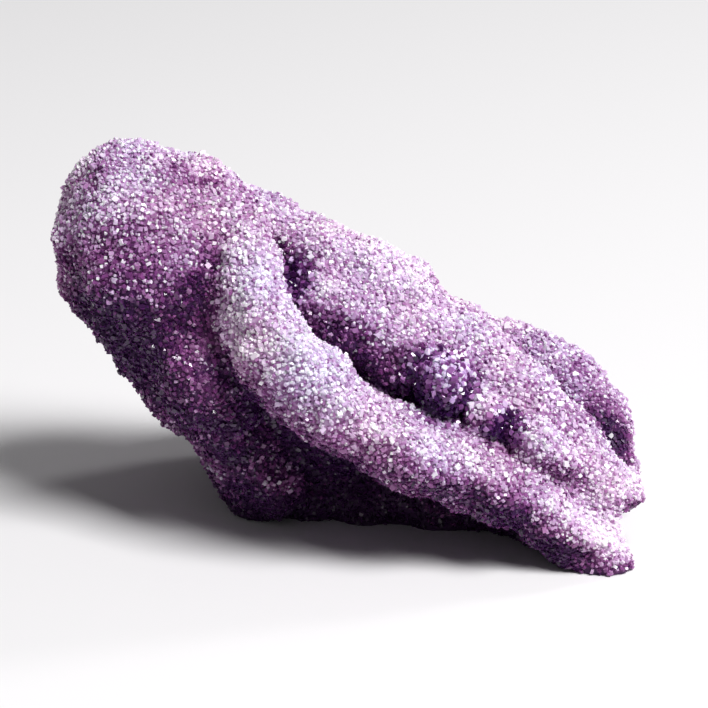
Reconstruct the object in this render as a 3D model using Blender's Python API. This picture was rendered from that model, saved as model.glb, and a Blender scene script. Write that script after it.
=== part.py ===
"""A candied violet: one whole flower, its petals folded together and set hard in a crust of sugar.

The flower lies on its belly, about 28 mm from corner to corner. +X runs along it from the rounded knob of
folded petals to the narrow tip, -Y is the side where the long lip and the slit behind it show, and +Z is up
from the floor. The design is in millimetres, and MM turns it into metres where the meshes are made.

Every petal is a thick sheet that follows a few guides laid side by side across it. The petals overlap round
soft hearts, are joined into one body, and are melted into each other a little, as the sugar does.
"""

import math

import bmesh
import bpy
import numpy as np
from mathutils import Euler, Vector, noise

MM = 0.001
TURN = 2 * math.pi

# Driving dimensions, in millimetres
WALL = 2.0  # a petal with the sugar on both its faces
THIN_WALL = 1.7  # where a petal is tucked in and the sugar is thinner
FOLD_WALL = 2.3  # along a fold, where it is thicker
CREASE_FILL = 0.3  # how finely the creases between petals are melted together
LIP_WALL = (1.9, 2.4, 3.0, 3.0, 2.7, 2.1)  # the lip, from its top to the tip
LUMP_SPACING = 1.9  # between the soft lumps in the sugar crust
LUMP_HEIGHT = 0.3  # how far those lumps stand out

# How finely the shapes are made
PETAL_ROWS = 30  # rows of points along a petal
PETAL_COLUMNS = 20  # points across a petal
HEART_SIDES = 28  # sides round a heart
SOFTENING = 4  # rounds of smoothing once the petals are joined
CRUST_FACES = 11400  # triangles in the finished crust

# Shares and turns
END_WIDTH = 0.3  # share of its width that a petal keeps at its very ends
RUFFLE_START = 1.3  # in radians, where on its wave a petal's ruffle starts
FINE_LUMPS = 0.5  # height of the finer lumps that ride on the others, as a share of theirs
FINE_CROWDING = 2.1  # how many times closer together the finer lumps are


def clear_scene():
    """Removes whatever the scene holds."""
    for thing in list(bpy.data.objects):
        bpy.data.objects.remove(thing, do_unlink=True)


def sugar_material():
    """The violet sugar crust."""
    material = bpy.data.materials.new("violet_sugar")
    material.use_nodes = True
    shader = material.node_tree.nodes["Principled BSDF"]
    shader.inputs["Base Color"].default_value = (0.40, 0.27, 0.47, 1.0)
    shader.inputs["Roughness"].default_value = 0.55
    shader.inputs["Metallic"].default_value = 0.0
    return material


def through(values, t):
    """A smooth curve through evenly spaced values, which are numbers or points, at t from 0 to 1."""
    values = [np.array(value, float) for value in values]
    if len(values) == 1:
        return values[0]
    last = len(values) - 1
    i = min(int(t * last), last - 1)
    f = t * last - i
    a, b = values[i], values[i + 1]
    before = values[i - 1] if i > 0 else 2 * a - b
    after = values[i + 2] if i + 2 <= last else 2 * b - a
    slope_a, slope_b = (b - before) / 2, (after - a) / 2
    return (
        (2 * f**3 - 3 * f**2 + 1) * a
        + (f**3 - 2 * f**2 + f) * slope_a
        + (3 * f**2 - 2 * f**3) * b
        + (f**3 - f**2) * slope_b
    )


def crowded_steps(count):
    """Steps from 0 to 1 that crowd towards both ends, where a petal's edge turns over."""
    return [(1 - math.cos(math.pi * n / count)) / 2 for n in range(count + 1)]


def reach_to_end(points):
    """Distance of each point of a row from the nearer end of the row, measured along it."""
    steps = np.linalg.norm(np.diff(points, axis=0), axis=1)
    run = np.concatenate(([0.0], np.cumsum(steps)))
    return np.minimum(run, run[-1] - run)


def guide(*points, walls=(WALL,)):
    """A line that a petal follows from end to end, with the wall's thickness at even steps along it."""
    return points, walls


def petal(name, *guides, corners=2.6, ruffle=0.0, waves=1):
    """A thick petal with a round edge. The guides lie side by side across it. corners says how full its
    corners are: 2 is an oval and more is squarer. Its long sides have ruffles, ruffle millimetres high."""
    rows, columns = crowded_steps(PETAL_ROWS), crowded_steps(PETAL_COLUMNS)
    sheet, wall, wave = [], [], []
    for u in rows:
        width = END_WIDTH + (1 - END_WIDTH) * (1 - abs(2 * u - 1) ** corners) ** (1 / corners)
        across = [0.5 + (v - 0.5) * width for v in columns]
        line = [through(points, u) for points, _ in guides]
        thickness = [through(walls, u) for _, walls in guides]
        sheet.append([through(line, v) for v in across])
        wall.append([through(thickness, v) for v in across])
        wave.append([math.sin(TURN * waves * u + RUFFLE_START) * (2 * v - 1) ** 2 for v in columns])
    sheet, half, wave = np.array(sheet), np.array(wall) / 2, np.array(wave)
    normal = np.cross(np.gradient(sheet, axis=0), np.gradient(sheet, axis=1))
    normal /= np.linalg.norm(normal, axis=2, keepdims=True)
    sheet = sheet + normal * (ruffle * wave)[:, :, None]
    to_side = np.array([reach_to_end(row) for row in sheet])
    to_end = np.array([reach_to_end(column) for column in sheet.transpose(1, 0, 2)]).T
    for reach in (to_side, to_end):
        half = half * np.sqrt(1 - (1 - np.minimum(reach / (np.array(wall) / 2), 1)) ** 2)
    return closed_sheet(name, sheet + normal * half[:, :, None], sheet - normal * half[:, :, None])


def closed_sheet(name, upper, lower):
    """A closed body between two grids of points that meet all round their border."""
    bm = bmesh.new()
    rows, columns = upper.shape[:2]
    top = [[bm.verts.new(Vector(point) * MM) for point in row] for row in upper]
    bottom = [list(row) for row in top]
    for i in range(1, rows - 1):
        for j in range(1, columns - 1):
            bottom[i][j] = bm.verts.new(Vector(lower[i, j]) * MM)
    for i in range(rows - 1):
        for j in range(columns - 1):
            bm.faces.new((top[i][j], top[i + 1][j], top[i + 1][j + 1], top[i][j + 1]))
            bm.faces.new((bottom[i][j], bottom[i][j + 1], bottom[i + 1][j + 1], bottom[i + 1][j]))
    bmesh.ops.recalc_face_normals(bm, faces=bm.faces)
    return new_object(name, bm)


def heart(name, centre, radii, tilt=(0, 0, 0)):
    """A soft oval where petals are pressed together. tilt is in degrees."""
    bm = bmesh.new()
    bmesh.ops.create_uvsphere(bm, u_segments=HEART_SIDES, v_segments=HEART_SIDES // 2, radius=1.0)
    turn = Euler([math.radians(angle) for angle in tilt])
    for vert in bm.verts:
        place = Vector(radius * way for radius, way in zip(radii, vert.co))
        place.rotate(turn)
        vert.co = (place + Vector(centre)) * MM
    return new_object(name, bm)


def new_object(name, bm):
    mesh = bpy.data.meshes.new(name)
    bm.to_mesh(mesh)
    bm.free()
    return bpy.data.objects.new(name, mesh)


def lip():
    """The front petal. Its upper edge is the thick lip that runs to the tip. Below it the wall draws back."""
    return petal(
        "lip",
        guide((-3.4, -0.8, 13.0), (-2.7, -4.1, 11.2), (-0.8, -5.7, 9.0), (2.4, -6.2, 6.4), (6.9, -6.3, 4.2),
              (11.2, -6.3, 1.0), walls=LIP_WALL),
        guide((-4.0, -0.4, 12.4), (-3.6, -3.6, 10.4), (-2.2, -5.1, 7.9), (1.6, -5.5, 5.2), (6.3, -5.7, 3.2),
              (10.9, -5.9, 0.6), walls=LIP_WALL),
        guide((-4.8, 0.6, 11.4), (-4.8, -1.0, 9.0), (-3.4, -1.2, 6.2), (1.4, -1.1, 3.8), (6.0, -2.4, 2.1),
              (10.2, -4.8, 0.6), walls=(THIN_WALL,)),
        guide((-5.0, 1.4, 10.4), (-4.4, 1.6, 6.4), (-2.6, 1.4, 2.4), (1.4, 1.4, 1.0), (5.4, -0.6, 0.5),
              (9.2, -4.2, 0.2)),
        corners=8, ruffle=0.25, waves=7,
    )


def main_fold():
    """The broad petal above the slit: it rolls in under its lower edge and goes over the top to the back."""
    return petal(
        "main_fold",
        guide((-3.2, 1.2, 9.8), (0.2, -0.8, 7.2), (3.6, -1.2, 5.6), (6.7, -2.6, 3.6), (10.0, -4.6, 1.0),
              walls=(THIN_WALL,)),
        guide((-2.9, 0.0, 11.8), (-0.5, -2.3, 9.5), (3.0, -2.7, 7.7), (6.5, -3.5, 5.6), (10.6, -5.1, 1.5)),
        guide((-5.4, 1.2, 12.8), (-1.2, 0.6, 10.8), (3.9, 0.2, 8.2), (7.4, -1.8, 5.8), (11.1, -4.4, 2.0),
              walls=(FOLD_WALL, FOLD_WALL, WALL)),
        guide((-5.4, 3.6, 10.8), (-0.6, 3.8, 8.8), (4.2, 2.8, 5.6), (7.2, 0.6, 3.6), (10.4, -3.2, 1.2)),
        corners=6, ruffle=0.15, waves=8,
    )


def shoulder():
    """A short petal pressed onto the main fold, which ends in a knuckle half way down it."""
    return petal(
        "shoulder",
        guide((-4.2, -0.4, 12.2), (-0.8, -1.8, 10.6), (2.5, -2.6, 8.8), walls=(THIN_WALL,)),
        guide((-6.0, 0.8, 13.2), (-1.4, 0.1, 11.5), (3.3, -0.6, 9.7), walls=(FOLD_WALL,)),
        guide((-5.6, 2.8, 12.2), (-0.8, 3.2, 10.2), (2.8, 2.2, 8.2), walls=(THIN_WALL,)),
        ruffle=0.15, waves=4,
    )


def knob():
    """The petal that closes over the high end like a hood."""
    return petal(
        "knob",
        guide((-9.6, 1.2, 8.4), (-7.8, -0.9, 6.4), (-5.0, -1.2, 5.8)),
        guide((-10.5, 0.8, 10.8), (-8.4, -2.1, 10.6), (-4.9, -1.8, 10.2)),
        guide((-10.9, 1.6, 12.7), (-8.8, 1.4, 14.3), (-4.8, 1.0, 13.3), walls=(FOLD_WALL,)),
        guide((-10.5, 2.4, 10.8), (-8.6, 4.7, 10.6), (-4.8, 4.4, 10.2)),
        guide((-9.6, 2.4, 8.4), (-7.8, 5.5, 6.8), (-5.0, 5.4, 6.0)),
        corners=6, ruffle=0.3, waves=3,
    )


def rear():
    """The petal that looks out behind the low end of the main fold."""
    return petal(
        "rear",
        guide((3.6, 1.5, 5.8), (7.2, 0.6, 4.4), (9.4, -1.6, 2.2), walls=(THIN_WALL,)),
        guide((4.0, 3.8, 6.4), (8.0, 3.2, 5.7), (10.3, 1.0, 4.2), (10.8, -1.8, 2.0)),
        guide((3.6, 6.4, 3.8), (7.4, 6.2, 2.8), (9.6, 4.4, 1.8), (10.6, 1.2, 0.9)),
        corners=3, ruffle=0.3, waves=3,
    )


def back():
    """The petal along the back: a free edge under the main fold, then a skirt that flares to the floor."""
    return petal(
        "back",
        guide((-6.6, 4.2, 11.0), (-3.2, 5.6, 9.4), (1.0, 5.6, 7.4), (5.0, 4.4, 5.2), walls=(FOLD_WALL,)),
        guide((-6.8, 4.4, 8.6), (-3.2, 5.0, 7.2), (1.0, 5.0, 5.2), (5.0, 3.8, 3.6), walls=(THIN_WALL,)),
        guide((-6.2, 6.2, 4.2), (-2.8, 8.0, 3.6), (1.8, 7.8, 2.4), (5.4, 6.0, 1.6)),
        guide((-5.0, 4.8, 1.8), (-2.0, 6.4, 0.6), (2.0, 6.0, 0.4), (4.8, 4.2, 0.6)),
        corners=4, ruffle=0.35, waves=4,
    )


def apron():
    """The pleated petal that slants down under the knob, from its low side to the floor."""
    return petal(
        "apron",
        guide((-6.8, -1.6, 7.8), (-4.2, -1.8, 4.6), (-0.8, -1.6, 1.2)),
        guide((-9.4, 0.2, 8.2), (-6.7, 0.0, 4.7), (-3.2, -0.2, 0.6)),
        guide((-8.0, 2.2, 8.0), (-5.4, 2.2, 4.4), (-2.0, 2.2, 0.6)),
        guide((-9.4, 4.2, 8.2), (-6.8, 4.6, 4.9), (-3.4, 4.8, 0.6)),
        guide((-7.0, 5.6, 7.8), (-4.6, 6.4, 4.8), (-1.2, 6.6, 1.2)),
        corners=4, ruffle=0.35, waves=3,
    )


def lobe():
    """The small rounded petal low at the front, between the knob and the lip."""
    return petal(
        "lobe",
        guide((-7.6, -0.4, 8.4), (-7.4, -1.6, 6.8), (-6.6, -1.6, 5.2), walls=(THIN_WALL,)),
        guide((-5.8, -1.9, 8.8), (-5.7, -3.3, 6.8), (-5.2, -3.2, 4.7)),
        guide((-4.0, -1.4, 8.2), (-3.8, -2.6, 6.6), (-3.8, -2.4, 4.9), walls=(THIN_WALL,)),
    )


def belly():
    """The petal underneath, which meets the floor. Its front edge is drawn in under the lip."""
    return petal(
        "belly",
        guide((-3.9, 4.4, 1.6), (-0.4, 4.8, 1.1), (4.5, 3.4, 1.0)),
        guide((-4.3, 1.8, 1.2), (-0.2, 1.8, 0.9), (6.2, 0.4, 0.9), walls=(FOLD_WALL,)),
        guide((-3.4, -0.6, 1.3), (0.6, -1.2, 0.9), (6.6, -2.4, 0.9)),
        corners=4, ruffle=0.35, waves=4,
    )


def hearts():
    """Where the knob and the tip are full, the bead of crystals in the slit, and where the slit closes."""
    return [
        heart("knob_heart", (-8.0, 1.7, 10.6), (3.8, 3.0, 3.7)),
        heart("tip_heart", (5.2, 1.2, 3.5), (5.2, 3.0, 2.2), tilt=(0, 26, -26)),
        heart("crystal_bead", (3.9, -4.2, 7.3), (0.95, 1.1, 0.95)),
        heart("slit_bridge", (5.5, -4.6, 6.1), (0.6, 1.1, 0.7)),
        heart("slit_end", (7.8, -4.9, 4.7), (1.5, 1.0, 0.9), tilt=(0, 38, 0)),
    ]


def apply_modifiers(body):
    """Gives the body the mesh that its modifiers make, and takes them off."""
    graph = bpy.context.evaluated_depsgraph_get()
    made = bpy.data.meshes.new_from_object(body.evaluated_get(graph))
    body.modifiers.clear()
    body.data = made


def fuse(body, pieces):
    """Joins the pieces with the body into one solid, its creases filled softly by the sugar."""
    collection = bpy.data.collections.new("petals")
    bpy.context.scene.collection.children.link(collection)
    for piece in pieces:
        collection.objects.link(piece)
    union = body.modifiers.new("union", "BOOLEAN")
    union.operation = "UNION"
    union.operand_type = "COLLECTION"
    union.collection = collection
    union.solver = "MANIFOLD"
    melt = body.modifiers.new("melt", "REMESH")
    melt.mode = "VOXEL"
    melt.voxel_size = CREASE_FILL * MM
    soften = body.modifiers.new("soften", "SMOOTH")
    soften.iterations = SOFTENING
    apply_modifiers(body)
    for piece in pieces:
        bpy.data.objects.remove(piece, do_unlink=True)
    bpy.data.collections.remove(collection)


def keep_outer_skin(body):
    """Fills any hollow that the petals have sealed in, by keeping only the body's largest skin."""
    bm = bmesh.new()
    bm.from_mesh(body.data)
    reached, skins = set(), []
    for start in bm.verts:
        if start in reached:
            continue
        reached.add(start)
        skin, waiting = [], [start]
        while waiting:
            vert = waiting.pop()
            skin.append(vert)
            beside = [edge.other_vert(vert) for edge in vert.link_edges]
            waiting += [other for other in beside if other not in reached]
            reached.update(beside)
        skins.append(skin)
    skins.sort(key=len)
    for skin in skins[:-1]:
        bmesh.ops.delete(bm, geom=skin, context="VERTS")
    bm.to_mesh(body.data)
    bm.free()


def raise_lumps(body):
    """Soft lumps in the sugar crust, all over the body."""
    mesh = body.data
    moved = []
    for vert in mesh.vertices:
        place = vert.co / (LUMP_SPACING * MM)
        height = noise.noise(place) + FINE_LUMPS * noise.noise(FINE_CROWDING * place)
        moved.append(vert.co + vert.normal * (height * LUMP_HEIGHT * MM))
    for vert, place in zip(mesh.vertices, moved):
        vert.co = place


def thin_out(body):
    """Brings the crust down to CRUST_FACES triangles."""
    thin = body.modifiers.new("thin", "DECIMATE")
    thin.ratio = CRUST_FACES / sum(len(face.vertices) - 2 for face in body.data.polygons)
    apply_modifiers(body)


def flatten_feet(body):
    """Flattens what reaches the floor, at z = 0, so that the flower rests on it."""
    for vert in body.data.vertices:
        vert.co.z = max(vert.co.z, 0.0)


def stand_on_origin(body):
    """Moves the flower sideways until the origin lies under the middle of its box."""
    places = np.array([vert.co for vert in body.data.vertices])
    middle = (places.min(axis=0) + places.max(axis=0)) / 2
    for vert in body.data.vertices:
        vert.co -= Vector((middle[0], middle[1], 0.0))


def build():
    clear_scene()
    body = heart("candied_violet", (-1.4, 1.9, 5.6), (6.6, 3.6, 4.8), tilt=(0, 32, 0))
    bpy.context.scene.collection.objects.link(body)
    petals = [lip(), main_fold(), shoulder(), knob(), rear(), back(), apron(), lobe(), belly()]
    fuse(body, petals + hearts())
    keep_outer_skin(body)
    raise_lumps(body)
    thin_out(body)
    flatten_feet(body)
    stand_on_origin(body)
    body.data.shade_smooth()
    body.data.materials.append(sugar_material())


build()
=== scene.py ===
import math

import bmesh
import bpy
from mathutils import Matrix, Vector
from mathutils.bvhtree import BVHTree


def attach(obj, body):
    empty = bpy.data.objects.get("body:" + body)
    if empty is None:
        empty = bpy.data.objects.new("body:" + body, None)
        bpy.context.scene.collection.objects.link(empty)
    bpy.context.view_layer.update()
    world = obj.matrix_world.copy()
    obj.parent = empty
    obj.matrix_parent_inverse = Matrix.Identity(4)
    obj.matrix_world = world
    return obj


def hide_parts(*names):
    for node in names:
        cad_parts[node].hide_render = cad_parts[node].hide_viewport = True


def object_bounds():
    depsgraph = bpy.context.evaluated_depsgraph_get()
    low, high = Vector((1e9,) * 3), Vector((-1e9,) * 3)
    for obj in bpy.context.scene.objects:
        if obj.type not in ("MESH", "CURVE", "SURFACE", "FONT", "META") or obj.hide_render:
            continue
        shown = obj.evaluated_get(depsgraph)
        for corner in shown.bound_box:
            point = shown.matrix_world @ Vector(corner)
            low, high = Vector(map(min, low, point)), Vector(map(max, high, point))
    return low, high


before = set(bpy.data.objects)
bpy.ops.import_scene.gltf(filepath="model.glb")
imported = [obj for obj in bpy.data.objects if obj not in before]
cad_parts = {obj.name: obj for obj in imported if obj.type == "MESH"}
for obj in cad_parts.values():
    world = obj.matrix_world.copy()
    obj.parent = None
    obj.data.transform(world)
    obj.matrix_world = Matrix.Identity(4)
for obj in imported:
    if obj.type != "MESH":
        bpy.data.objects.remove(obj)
cad_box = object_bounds()
MM = 0.001

# The folded petals.
# One violet, its petals crumpled together and cooked in sugar syrup until a thick crust sets over them. The
# crust follows every fold, swells into clumps, stands out on the ridges and fills the deepest folds.
WELD = 0.001 * MM
CRUST_GRID = 0.135 * MM  # the crust's own mesh, fine enough for its grain
FOLD_REACH = 4.0 * MM  # how far away a petal or the floor still shuts a place in
EDGE_REACH = 5.0 * MM  # a petal's edge is thinner than this
OPEN = 0.2  # the syrup pools where a place is shut in more than this
RAYS = 80
RAY_LIFT = 0.02 * MM
RIDGE_BLUR = 41  # rounds of smoothing that tell a ridge from a crease
RIDGE_HEIGHT = 0.22 * MM  # a sharp ridge stands this far above the smoothed crust
CRUST = {
    "Sharpen": 0.4,  # how much further ridges stand out and creases draw in
    "Fold Filling": 1.0 * MM,
    "Plug Height": 0.7 * MM,
    "Swell Size": 2.4 * MM,
    "Swell Height": 0.12 * MM,
    "Clump Size": 0.62 * MM,
    "Clump Height": 0.10 * MM,
    "Grain Size": 0.30 * MM,
    "Grain Height": 0.05 * MM,
}
# Spots on the crust, in millimetres: the middle of each, how far it reaches, and how strong it is. One whose
# strength is below 0 takes away.
KNOTS = {  # where dark crystals grew; the crust around them is also darkened with painted shade of the pits
    "bead in the slit": ((3.6, -5.2, 7.2), 1.9, 1.6),
    "low end of the slit": ((6.2, -5.9, 5.6), 1.1, 1.3),
    "top of the slit": ((-2.3, -2.9, 10.7), 1.2, 1.3),
}
PLUGS = {  # where the crust set thicker, or thinner
    "above the slit": ((-2.8, -3.3, 12.1), 1.3, 1.2),
    "top of the slit": ((-2.3, -2.9, 10.7), 1.1, -0.6),
    "bead in the slit": ((3.7, -5.2, 7.3), 1.7, -0.35),
    "bridge": ((5.5, -6.1, 6.3), 1.0, -0.5),
}
PAINTED_SHADE_LIGHT_AND_STAINS = {  # where the crust is painted darker or paler: the crown's spots are the petals' own purple, the others painted shade and painted light
    "crown": ((-6.9, -0.8, 14.6), 0.9, 0.75),
    "crown's edge": ((-5.4, -1.0, 14.2), 0.7, 0.50),
    "brow": ((-9.9, -0.6, 14.5), 1.6, 0.30),
    "cheek": ((-8.7, -3.2, 8.6), 5.4, 0.72),
    "cheek beside the lip": ((-7.1, -3.5, 9.5), 1.8, -0.16),
    "hollow beside the knob": ((-5.2, -3.6, 11.2), 1.8, 0.20),
    "lobe": ((-4.6, -4.2, 5.0), 3.5, 0.68),
    "top of the lobe": ((-6.4, -4.3, 7.9), 2.2, 0.22),
    "foot of the lobe": ((-3.4, -3.2, 2.8), 2.4, 0.35),
    "belly": ((0.5, -2.0, 1.0), 6.0, 0.75),
    "lip's upper flank": ((1.8, -8.3, 4.7), 1.6, 0.35),
    "lip's flank": ((3.9, -8.3, 3.7), 1.8, 0.45),
    "lip's lower flank": ((6.2, -8.4, 2.9), 2.2, 0.70),
    "lip's end": ((8.4, -8.2, 1.3), 1.6, 0.50),
    "lip's bend": ((-2.0, -5.9, 8.8), 2.6, -0.20),
    "lip's inner flank": ((-4.6, -5.3, 9.3), 2.0, -0.35),
    "upper slit": ((-1.4, -3.6, 10.0), 1.6, -0.25),
    "wall of the slit": ((0.4, -4.2, 8.8), 1.8, 0.28),
    "brow of the slit": ((-0.4, -3.9, 9.5), 1.0, 0.12),
    "above the bead": ((2.8, -4.3, 8.9), 1.3, 0.15),
    "main fold": ((2.4, -2.2, 11.0), 3.8, -0.26),
    # a painted glint
    "glint on the bead": ((3.5, -6.1, 7.5), 0.7, -0.90),
    "bridge": ((5.5, -6.2, 6.3), 0.9, 0.45),
    "rear petal": ((9.6, 0.4, 5.0), 2.2, 0.20),
    "rear petal's foot": ((10.6, -2.1, 3.8), 2.2, 1.15),
    "tip": ((10.2, -7.0, 1.6), 2.0, -0.30),
}


class Wire:
    """A value in a node tree. Sums and products of it add the Math nodes that they need."""

    def __init__(self, graph, socket):
        self.graph, self.socket = graph, socket

    def math(self, operation, *values):
        return self.graph.node("ShaderNodeMath", {"operation": operation}, dict(enumerate(values)))

    def __add__(self, other):
        return self.math("ADD", self, other)

    def __sub__(self, other):
        return self.math("SUBTRACT", self, other)

    def __rsub__(self, other):
        return self.math("SUBTRACT", other, self)

    def __mul__(self, other):
        return self.math("MULTIPLY", self, other)

    def __truediv__(self, other):
        return self.math("DIVIDE", self, other)

    def __rtruediv__(self, other):
        return self.math("DIVIDE", other, self)

    def __gt__(self, other):
        return self.math("GREATER_THAN", self, other)

    def clamped(self):
        return self.math("MINIMUM", self.math("MAXIMUM", self, 0.0), 1.0)

    __radd__, __rmul__ = __add__, __mul__


class Graph:
    """A node tree, of a material or of geometry, that grows node by node."""

    def __init__(self, tree):
        self.tree = tree

    def node(self, kind, settings=(), inputs=(), output=0):
        """Adds a node, its settings first and then the values or wires of its inputs. Gives its output."""
        made = self.tree.nodes.new(kind)
        for label, setting in dict(settings).items():
            if label == "stops":
                self.set_stops(made.color_ramp.elements, setting)
            else:
                setattr(made, label, setting)
        for label, value in dict(inputs).items():
            self.feed(made, label, value)
        return Wire(self, made.outputs[output])

    def set_stops(self, ramp, stops):
        while len(ramp) < len(stops):
            ramp.new(0.5)
        for stop, (place, colour) in zip(ramp, stops):
            stop.position, stop.color = place, (*colour, 1.0)

    def feed(self, node, label, value):
        """Gives an input of a node its value, or its wire."""
        if isinstance(value, Wire):
            self.tree.links.new(value.socket, node.inputs[label])
        else:
            node.inputs[label].default_value = value

    def vector(self, operation, a, b, output=0):
        return self.node("ShaderNodeVectorMath", {"operation": operation}, {0: a, 1: b}, output)

    def scaled(self, vector, factor):
        return self.node("ShaderNodeVectorMath", {"operation": "SCALE"}, {0: vector, "Scale": factor})

    def noise(self, place, size, detail=2.0):
        """Soft noise from 0 to 1, with lumps of about that size."""
        at = self.scaled(place, 1 / size)
        return self.node("ShaderNodeTexNoise", (), {"Vector": at, "Scale": 1.0, "Detail": detail})

    def lumps(self, place, size, fall=1.6):
        """Rounded lumps packed side by side: 1 at their middles, and lower by fall one size away."""
        at = self.scaled(place, 1 / size)
        distance = self.node("ShaderNodeTexVoronoi", {"feature": "F1"}, {"Vector": at, "Scale": 1.0})
        return 1 - distance * distance * fall


class GeometryGraph(Graph):
    """A geometry node tree with a named input for each size, and for the finish of what it makes."""

    def __init__(self, name, inputs):
        super().__init__(bpy.data.node_groups.new(name, "GeometryNodeTree"))
        self.tree.interface.new_socket("Geometry", in_out="OUTPUT", socket_type="NodeSocketGeometry")
        for label, kind in inputs.items():
            self.tree.interface.new_socket(label, in_out="INPUT", socket_type="NodeSocket" + kind)
        self.entry = self.tree.nodes.new("NodeGroupInput")

    def given(self, label):
        return Wire(self, self.entry.outputs[label])

    def stored(self, label):
        return self.node("GeometryNodeInputNamedAttribute", {"data_type": "FLOAT"}, {"Name": label})

    def keep(self, geometry, **values):
        """Stores values with every point of the geometry."""
        for label, value in values.items():
            geometry = self.node(
                "GeometryNodeStoreNamedAttribute",
                {"data_type": "FLOAT", "domain": "POINT"},
                {"Geometry": geometry, "Name": label, "Value": value},
            )
        return geometry

    def shape_of(self, label):
        """The mesh of the object that a named input holds."""
        return self.node("GeometryNodeObjectInfo", (), {"Object": self.given(label)}, "Geometry")

    def end(self, geometry):
        """Ends the tree with real meshes that have the finish it is given."""
        real = self.node("GeometryNodeRealizeInstances", (), {"Geometry": geometry})
        finish = {"Geometry": real, "Material": self.given("Finish")}
        finished = self.node("GeometryNodeSetMaterial", (), finish)
        self.feed(self.tree.nodes.new("NodeGroupOutput"), "Geometry", finished)

    def put_on(self, piece, values):
        """Hangs the tree on a piece, with the values of its inputs."""
        modifier = piece.modifiers.new(self.tree.name, "NODES")
        modifier.node_group = self.tree
        items = self.tree.interface.items_tree
        sockets = {item.name: item.identifier for item in items if item.in_out == "INPUT"}
        for label, value in values.items():
            modifier[sockets[label]] = value


def new_piece(name, mesh):
    piece = bpy.data.objects.new(name, mesh)
    bpy.context.scene.collection.objects.link(piece)
    return piece


def mesh_of(name, bm):
    mesh = bpy.data.meshes.new(name)
    bm.to_mesh(mesh)
    bm.free()
    return mesh


def settle(piece):
    """Gives the piece the mesh that its modifiers make, and takes them off. What would be below the floor is
    flattened onto it."""
    graph = bpy.context.evaluated_depsgraph_get()
    made = bpy.data.meshes.new_from_object(piece.evaluated_get(graph))
    piece.modifiers.clear()
    piece.data = made
    made.name = piece.name
    for corner in made.vertices:
        corner.co.z = max(corner.co.z, 0.0)


def welded_copy(node):
    """The node's mesh with its loose triangles joined."""
    bm = bmesh.new()
    bm.from_mesh(node.data)
    bmesh.ops.remove_doubles(bm, verts=bm.verts, dist=WELD)
    return mesh_of("petal_form", bm)


def dome(count):
    """Directions spread over the half sphere above +Z, closer together towards its top."""
    golden = math.pi * (3 - math.sqrt(5))
    ways = []
    for n in range(count):
        out = math.sqrt((n + 0.5) / count)
        turn = golden * n
        ways.append(Vector((out * math.cos(turn), out * math.sin(turn), math.sqrt(1 - out * out))))
    return ways


def closeness(mesh, side, reach):
    """How close each point is to what it faces: 0 if nothing is within reach, and 1 if it touches all round.
    Side 1 faces other petals and the floor. Side -1 faces inwards, to the far side of the same petal."""
    places = [vert.co for vert in mesh.vertices]
    shell = BVHTree.FromPolygons(places, [face.vertices for face in mesh.polygons])
    ways = dome(RAYS)
    found = []
    for vert in mesh.vertices:
        facing = side * vert.normal
        turn = facing.to_track_quat("Z", "Y")
        start = vert.co + RAY_LIFT * facing
        close = 0.0
        for way in ways:
            ray = turn @ way
            free = shell.ray_cast(start, ray, reach)[3] or reach
            if ray.z < 0:
                free = min(free, max(start.z, 0.0) / -ray.z)
            close += 1 - free / reach
        found.append(close / RAYS)
    return found


def nearness(mesh, spots):
    """How strongly the spots reach each point, added up. Each fades from its middle to its edge."""
    return [
        sum(
            strength * max(0.0, 1 - (vert.co / MM - Vector(middle)).length / reach)
            for middle, reach, strength in spots.values()
        )
        for vert in mesh.vertices
    ]


form = new_piece("petal_form", welded_copy(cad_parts["candied_violet"]))
MARKS = {
    "fold": closeness(form.data, 1, FOLD_REACH),
    "edge": closeness(form.data, -1, EDGE_REACH),
    "knot": nearness(form.data, KNOTS),
    "plug": nearness(form.data, PLUGS),
    "stain": nearness(form.data, PAINTED_SHADE_LIGHT_AND_STAINS),
}
for label, values in MARKS.items():
    form.data.attributes.new(label, "FLOAT", "POINT").data.foreach_set("value", values)

CRUST_INPUTS = {
    "Geometry": "Geometry",
    "Form": "Object",
    "Finish": "Material",
    **dict.fromkeys(CRUST, "Float"),
}
crust_tree = GeometryGraph("violet sugar crust", CRUST_INPUTS)
crust_place = crust_tree.node("GeometryNodeInputPosition")
crust_normal = crust_tree.node("GeometryNodeInputNormal")
marks = {
    label: crust_tree.node(
        "GeometryNodeSampleNearestSurface",
        {"data_type": "FLOAT"},
        {
            "Mesh": crust_tree.shape_of("Form"),
            "Value": crust_tree.stored(label),
            "Sample Position": crust_place,
        },
    )
    for label in MARKS
}
blurred_place = crust_tree.node(
    "GeometryNodeBlurAttribute",
    {"data_type": "FLOAT_VECTOR"},
    {"Value": crust_place, "Iterations": RIDGE_BLUR},
)
off_blurred = crust_tree.vector("SUBTRACT", crust_place, blurred_place)
stand = crust_tree.vector("DOT_PRODUCT", off_blurred, crust_normal, "Value")
up = crust_tree.vector("DOT_PRODUCT", crust_normal, (0.0, 0.0, 1.0), "Value")
given = crust_tree.given
raised = (
    stand * given("Sharpen")
    + (marks["fold"] - OPEN).clamped() * given("Fold Filling")
    + marks["plug"] * given("Plug Height")
    + (crust_tree.noise(crust_place, given("Swell Size")) - 0.5) * given("Swell Height") * 2
    + (crust_tree.lumps(crust_place, given("Clump Size")) - 1) * given("Clump Height")
    + crust_tree.lumps(crust_place, given("Grain Size")) * given("Grain Height")
)
crust_marked = crust_tree.keep(given("Geometry"), stand=stand / RIDGE_HEIGHT, up=up, **marks)
crust_tree.end(
    crust_tree.node(
        "GeometryNodeSetPosition",
        (),
        {"Geometry": crust_marked, "Offset": crust_tree.scaled(crust_normal, raised)},
    )
)
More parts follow.
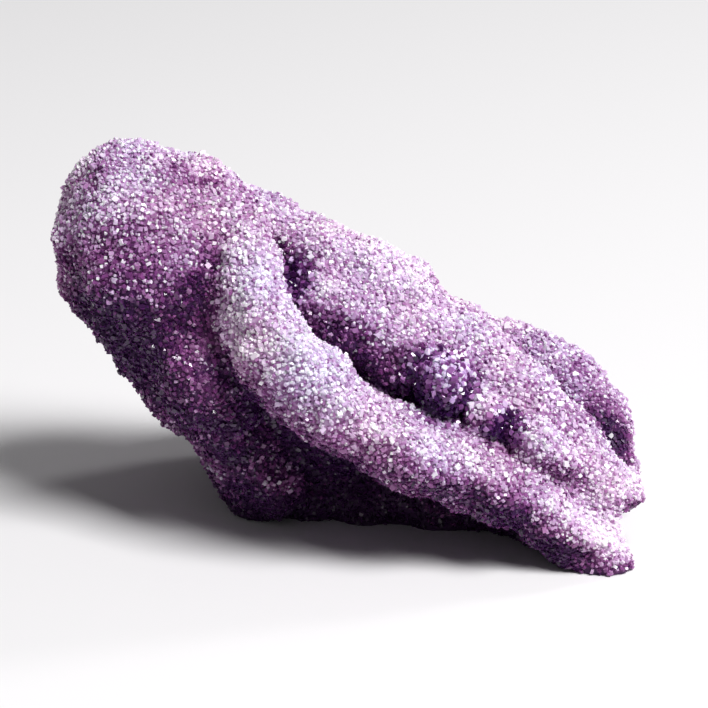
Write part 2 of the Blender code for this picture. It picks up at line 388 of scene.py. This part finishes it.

# The crust's colour: whitish lilac where it stands out and on top, mauve on the flanks, magenta and aubergine
# deep in the folds, in the pits and underneath. Part of this is the petals' dye. The rest is painted
# highlight on the ridges and tops, painted shade in the folds, pits and underside, and spots of painted shade
# and painted light. It leans to blue in places, to pink in others, and to indigo where the crystals grew.
DYE_STEPS = (  # how deep the colour is, from dye and painted shade, and the colour then
    (0.00, (0.94, 0.87, 0.98)),  # frost
    (0.18, (0.75, 0.63, 0.80)),  # pale lilac
    (0.38, (0.54, 0.38, 0.58)),  # lilac
    (0.56, (0.37, 0.175, 0.37)),  # mauve
    (0.72, (0.22, 0.062, 0.215)),  # magenta
    (0.87, (0.095, 0.021, 0.105)),  # violet
    (1.00, (0.040, 0.009, 0.060)),  # aubergine
)
PLAIN_DYE = 0.42  # what open crust took
FOLD_DYE_AND_SHADE = 0.7  # how much darker a place is that is shut in all round: partly dye, partly painted shade in the fold
KNOT_DYE_AND_PIT_SHADE = 0.6  # how much darker the crust is among the crystals: their own darker violet, and painted shade of the pits around them
UNDERSIDE_SHADE = 0.45  # painted shade: how much darker the crust is underneath
UNDERSIDE_SHADE_START = 0.25  # the painted shade starts where the crust faces up less than this
RIDGE_HIGHLIGHT = 0.10  # painted highlight on a sharp ridge, and painted shade in a crease
TOP_LIGHT = 0.10  # painted light: how much paler the crust is where it faces up, and darker where it faces down
EDGE_LOSS = 0.5  # how much less a thin edge has
PATCH = 2.8 * MM  # patches where the crust took more or less dye
BLUSH = 1.0 * MM
BLUSH_DETAIL = 3.0
PATCH_DYE = 0.3  # how much the patches and the blushes differ
PALER_IN_FROST = 1.35  # how much a grain's own paleness counts where there is no dye
PALER_LOST = 0.9  # how much less it counts where the dye is full
TINT_PATCH = 3.6 * MM
TINT_CONTRAST = 2.5
BLUER = (0.96, 0.98, 1.04)
PINKER = (1.06, 0.95, 0.98)
INDIGO = (0.92, 0.86, 1.06)
INDIGO_GAIN = 2.0  # the sugar is full indigo where a knot's strength is a half or more
SCATTERED = (1.0, 0.6, 1.0)  # how far light of each colour goes inside the sugar, next to the others
FLECK = 0.16 * MM
FLECK_EVEN = 0.85  # a fleck lighter than this makes the crust paler, and one darker makes it deeper
FLECK_DEPTH = 0.6


class Finish(Graph):
    """A material with one shader. Constant numbers go straight to the shader's sockets."""

    def __init__(self, name, **constants):
        self.material = bpy.data.materials.new(name)
        self.material.use_nodes = True
        super().__init__(self.material.node_tree)
        self.shader = self.tree.nodes["Principled BSDF"]
        for label, value in constants.items():
            self.shader.inputs[label.replace("_", " ")].default_value = value
        self.place = self.node("ShaderNodeTexCoord", (), (), "Object")

    def mark(self, label):
        return self.node("ShaderNodeAttribute", {"attribute_name": label}, (), "Fac")

    def mix(self, factor, a, b, blend="MIX"):
        a, b = (value if isinstance(value, Wire) else (*value, 1.0) for value in (a, b))
        settings = {"data_type": "RGBA", "blend_type": blend}
        return self.node("ShaderNodeMix", settings, {0: factor, 6: a, 7: b}, 2)

    def paint(self, **values):
        for label, value in values.items():
            self.feed(self.shader, label.replace("_", " "), value)

    def dye_and_painted_light(self, paler):
        """The sugar's colour here: its dye, with painted shade in the folds, pits and underside, painted
        light on the ridges and tops, and the painted spots. paler moves it towards whitish lilac.
        """
        patch = self.noise(self.place, PATCH) - 0.5
        blush = self.noise(self.place, BLUSH, BLUSH_DETAIL) - 0.5
        # Painted shade underneath, in the folds, the pits and the dark spots; painted highlight on the ridges
        # and tops, and paler thin edges.
        underside_shade = (UNDERSIDE_SHADE_START - self.mark("up")).clamped() * UNDERSIDE_SHADE
        dye_and_shade = self.mark("fold") * FOLD_DYE_AND_SHADE + self.mark("knot") * KNOT_DYE_AND_PIT_SHADE + self.mark("stain") + underside_shade
        pale_and_lit = self.mark("stand") * RIDGE_HIGHLIGHT + self.mark("up") * TOP_LIGHT + self.mark("edge") * EDGE_LOSS
        ground = dye_and_shade - pale_and_lit + patch * PATCH_DYE + blush * PATCH_DYE + PLAIN_DYE
        depth = ground - paler * (PALER_IN_FROST - ground.clamped() * PALER_LOST)
        colour = self.node("ShaderNodeValToRGB", {"stops": DYE_STEPS}, {"Fac": depth})
        leaning = (self.noise(self.place, TINT_PATCH) - 0.5) * TINT_CONTRAST + 0.5
        tint = self.mix(leaning.clamped(), BLUER, PINKER)
        tint = self.mix((self.mark("knot") * INDIGO_GAIN).clamped(), tint, INDIGO)
        return self.mix(1.0, colour, tint, "MULTIPLY")


crust_finish = Finish(
    "violet_crust",
    Roughness=0.5,
    Specular_IOR_Level=0.2,
    Subsurface_Weight=0.3,
    Subsurface_Radius=SCATTERED,
    Subsurface_Scale=0.3 * MM,
)
fleck = crust_finish.noise(crust_finish.place, FLECK)
crust_finish.paint(
    Base_Color=crust_finish.dye_and_painted_light((fleck - FLECK_EVEN) * FLECK_DEPTH),
    Normal=crust_finish.node("ShaderNodeBump", (), {"Strength": 0.5, "Distance": 0.03 * MM, "Height": fleck}),
)

petals = new_piece("folded_petals", form.data.copy())
even = petals.modifiers.new("even", "REMESH")
even.mode = "VOXEL"
even.voxel_size = CRUST_GRID
crust_tree.put_on(petals, {"Form": form, "Finish": crust_finish.material, **CRUST})
settle(petals)
bpy.data.objects.remove(form)
petals.data.shade_smooth()
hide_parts("candied_violet")
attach(petals, "root")

# The sugar grains.
# The flower was tossed in sugar while its syrup was wet. The grains are slanted blocks, some with chipped
# corners, stuck in the crust at all angles: coarse, frosted, clear, fine and dyed ones, and dark crystals.
TRIES = 260e6  # places tried on each square metre, before those too close to another are dropped
FLOOR_CLEARANCE = 0.10 * MM  # below this the crust is pressed bare
CRYSTAL_GAIN = 3.0  # the crystals are as close as they can be where a knot's strength is a third or more
GRAIN_WIDTH = 0.8  # its width, thickness and slant next to its length
GRAIN_THICKNESS = 0.68
GRAIN_SLANT = 0.18
CHIP = 0.34  # share of an edge that a chipped corner takes off
GRAIN_RISE = 0.35  # share of its length from a grain's middle to the crust it would lie on
TILT = math.radians(90)  # how far a grain leans out of the crust, at most
BUILD_LEAST = (0.8, 0.75, 0.75)  # how grains differ in length, width and thickness
BUILD_MOST = (1.2, 1.15, 1.15)
WHITE_AND_GLINT_PALER = 0.45  # how much paler a white grain is: whiter sugar, and painted glints
SUGAR_IOR = 1.54
CLOSE = 0.219 * MM  # how close together the small grains stand
RANDOM_SOCKETS = {"FLOAT": (2, 3, 1), "FLOAT_VECTOR": (0, 1, 0)}  # lowest, highest and result
GRAIN_INPUTS = {
    "Geometry": "Geometry",
    "Grain": "Object",
    "Finish": "Material",
    "Spacing": "Float",
    "Smallest": "Float",
    "Largest": "Float",
    "Sunk": "Float",
    "Only At Knots": "Float",
    "Seed": "Int",
}


def sugar_grain(name, chipped):
    """A sugar grain, 1 m long: a slanted block with the numbered corners chipped off."""
    ends = [
        Vector((x + GRAIN_SLANT * z, GRAIN_WIDTH * y, GRAIN_THICKNESS * z)) / 2
        for x in (-1, 1)
        for y in (-1, 1)
        for z in (-1, 1)
    ]
    bm = bmesh.new()
    for index, end in enumerate(ends):
        if index in chipped:
            for beside in (index ^ 1, index ^ 2, index ^ 4):
                bm.verts.new(end.lerp(ends[beside], CHIP))
        else:
            bm.verts.new(end)
    bmesh.ops.convex_hull(bm, input=bm.verts)
    bmesh.ops.recalc_face_normals(bm, faces=bm.faces)
    return new_piece(name, mesh_of(name, bm))


grain_tree = GeometryGraph("sugar grains", GRAIN_INPUTS)
given = grain_tree.given
only_knots = given("Only At Knots")
grain_place = grain_tree.node("GeometryNodeInputPosition")
height_here = grain_tree.node("ShaderNodeSeparateXYZ", (), {"Vector": grain_place}, "Z")
wanted = (1 - only_knots + only_knots * grain_tree.stored("knot") * CRYSTAL_GAIN).clamped()
scatter = grain_tree.node(
    "GeometryNodeDistributePointsOnFaces",
    {"distribute_method": "POISSON"},
    {
        "Mesh": given("Geometry"),
        "Distance Min": given("Spacing"),
        "Density Max": TRIES,
        "Density Factor": wanted * (height_here > FLOOR_CLEARANCE),
        "Seed": given("Seed"),
    },
)
out_of_crust = Wire(grain_tree, scatter.socket.node.outputs["Normal"])
along_crust = Wire(grain_tree, scatter.socket.node.outputs["Rotation"])


def draw(number, kind, low, high):
    """A random value for each grain. number tells the draws apart."""
    low_socket, high_socket, result = RANDOM_SOCKETS[kind]
    values = {low_socket: low, high_socket: high, "Seed": given("Seed") + number}
    return grain_tree.node("FunctionNodeRandomValue", {"data_type": kind}, values, result)


grain_length = draw(1, "FLOAT", given("Smallest"), given("Largest"))
grain_build = draw(2, "FLOAT_VECTOR", BUILD_LEAST, BUILD_MOST)
grain_lean = draw(3, "FLOAT_VECTOR", (-TILT, -TILT, 0.0), (TILT, TILT, math.tau))
lifted = grain_tree.scaled(out_of_crust, grain_length * (GRAIN_RISE - given("Sunk")))
stuck = grain_tree.node("GeometryNodeSetPosition", (), {"Geometry": scatter, "Offset": lifted})
grain_tree.end(
    grain_tree.node(
        "GeometryNodeInstanceOnPoints",
        (),
        {
            "Points": grain_tree.keep(stuck, shade=draw(4, "FLOAT", 0.0, 1.0)),
            "Instance": grain_tree.shape_of("Grain"),
            "Rotation": grain_tree.node(
                "FunctionNodeRotateRotation",
                {"rotation_space": "LOCAL"},
                {"Rotation": along_crust, "Rotate By": grain_lean},
            ),
            "Scale": grain_tree.scaled(grain_build, grain_length),
        },
    )
)


def grain_finish(name, paler, variety, roughness, gloss, white_and_glint_share=0.0):
    """Sugar of one kind. paler is how much paler it is than the crust, variety how much its grains differ,
    gloss how strongly they reflect, and white_and_glint_share the share of them that are white: whiter sugar,
    and painted glints."""
    finish = Finish(
        name,
        Roughness=roughness,
        IOR=SUGAR_IOR,
        Specular_IOR_Level=gloss,
        Subsurface_Weight=0.5,
        Subsurface_Radius=SCATTERED,
        Subsurface_Scale=0.15 * MM,
    )
    shade = finish.mark("shade")
    # white grains: whiter sugar, and painted glints
    white = (shade > 1 - white_and_glint_share) * WHITE_AND_GLINT_PALER
    finish.paint(Base_Color=finish.dye_and_painted_light((shade - 0.5) * variety + white + paler))
    return finish.material


def scatter_grains(name, chipped, look, seed, spacing, smallest, largest, sunk, only_at_knots=0.0):
    """One kind of grain, all over the petals, as one plain mesh. sunk is the share of a grain's length by
    which it is set deeper than one that lies on the crust."""
    grain = sugar_grain(name + "_grain", chipped)
    piece = new_piece(name, petals.data.copy())
    values = {
        "Grain": grain,
        "Finish": grain_finish(name, **look),
        "Spacing": spacing,
        "Smallest": smallest,
        "Largest": largest,
        "Sunk": sunk,
        "Only At Knots": only_at_knots,
        "Seed": seed,
    }
    grain_tree.put_on(piece, values)
    settle(piece)
    bpy.data.objects.remove(grain)
    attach(piece, "root")


scatter_grains(
    "coarse_sugar",
    chipped=(0, 7),
    look={"paler": 0.06, "variety": 0.5, "roughness": 0.2, "gloss": 0.5, "white_and_glint_share": 0.08},
    seed=11,
    spacing=0.46 * MM,
    smallest=0.19 * MM,
    largest=0.28 * MM,
    sunk=0.30,
)
scatter_grains(
    "frosted_sugar",
    chipped=(),
    look={"paler": 0.10, "variety": 0.6, "roughness": 0.4, "gloss": 0.25, "white_and_glint_share": 0.14},
    seed=23,
    spacing=CLOSE,
    smallest=0.11 * MM,
    largest=0.18 * MM,
    sunk=0.25,
)
scatter_grains(
    "clear_sugar",
    chipped=(),
    look={"paler": 0.0, "variety": 0.8, "roughness": 0.15, "gloss": 0.5, "white_and_glint_share": 0.08},
    seed=37,
    spacing=CLOSE,
    smallest=0.11 * MM,
    largest=0.18 * MM,
    sunk=0.25,
)
scatter_grains(
    "fine_sugar",
    chipped=(),
    look={"paler": 0.06, "variety": 0.8, "roughness": 0.3, "gloss": 0.25, "white_and_glint_share": 0.10},
    seed=41,
    spacing=CLOSE,
    smallest=0.07 * MM,
    largest=0.12 * MM,
    sunk=0.2,
)
scatter_grains(
    "dyed_sugar",
    chipped=(),
    look={"paler": -0.20, "variety": 0.7, "roughness": 0.3, "gloss": 0.2},
    seed=47,
    spacing=CLOSE,
    smallest=0.08 * MM,
    largest=0.15 * MM,
    sunk=0.25,
)
scatter_grains(
    "violet_crystals",
    chipped=(0, 3, 5, 6),
    look={"paler": -0.10, "variety": 0.9, "roughness": 0.1, "gloss": 0.5, "white_and_glint_share": 0.16},
    seed=53,
    spacing=0.15 * MM,
    smallest=0.16 * MM,
    largest=0.30 * MM,
    sunk=0.15,
    only_at_knots=1.0,
)

# The floor, the light and the camera.
# A pale tabletop, one large soft lamp high at the front right, a weak one behind on the right, and a long
# lens that looks down at the flower by the angle of the photograph.
ELEVATION = math.radians(19)
LENS = 200.0
NEAREST = 0.005  # what the camera sees lies between these
FARTHEST = 5.0
FILLED = 0.82  # share of the picture's width that the flower takes
LOOK_AT = Vector((0.3, 0.0, 6.6)) * MM
TABLE_COLOUR = (0.86, 0.85, 0.86, 1.0)
TABLE_REACH = 1.2
TABLE_GAP = 0.02 * MM
STUDIO_GLOW = 0.12  # how strong the white light is that comes from all round

corners = [(x * TABLE_REACH, y * TABLE_REACH, -TABLE_GAP) for x, y in ((-1, -1), (1, -1), (1, 1), (-1, 1))]
table_mesh = bpy.data.meshes.new("tabletop")
table_mesh.from_pydata(corners, [], [(0, 1, 2, 3)])
table = new_piece("tabletop", table_mesh)
table.data.materials.append(Finish("tabletop", Base_Color=TABLE_COLOUR, Roughness=0.6).material)

bpy.context.scene.view_settings.view_transform = "Standard"
world = bpy.data.worlds.new("studio")
world.use_nodes = True
world.node_tree.nodes["Background"].inputs["Color"].default_value = (1.0, 1.0, 1.0, 1.0)
world.node_tree.nodes["Background"].inputs["Strength"].default_value = STUDIO_GLOW
bpy.context.scene.world = world


def aim(thing, way, distance):
    """Puts a lamp or the camera some way off, facing the flower."""
    bpy.context.scene.collection.objects.link(thing)
    thing.location = LOOK_AT + Vector(way).normalized() * distance
    thing.rotation_mode = "QUATERNION"
    thing.rotation_quaternion = (LOOK_AT - thing.location).to_track_quat("-Z", "Y")


def lamp(name, way, distance, size, watts):
    """A soft square lamp that shines on the flower."""
    light = bpy.data.lights.new(name, "AREA")
    light.size, light.energy = size, watts
    aim(bpy.data.objects.new(name, light), way, distance)


lamp("key", way=(0.42, -0.38, 0.82), distance=0.40, size=0.17, watts=2.1)
lamp("rim", way=(0.75, 0.50, 0.45), distance=0.40, size=0.08, watts=0.35)

camera = bpy.data.objects.new("camera", bpy.data.cameras.new("camera"))
camera.data.lens = LENS
camera.data.clip_start, camera.data.clip_end = NEAREST, FARTHEST
width_seen = (cad_box[1].x - cad_box[0].x) / FILLED
distance_off = width_seen * LENS / camera.data.sensor_width
aim(camera, (0.0, -math.cos(ELEVATION), math.sin(ELEVATION)), distance_off)
bpy.context.scene.camera = camera
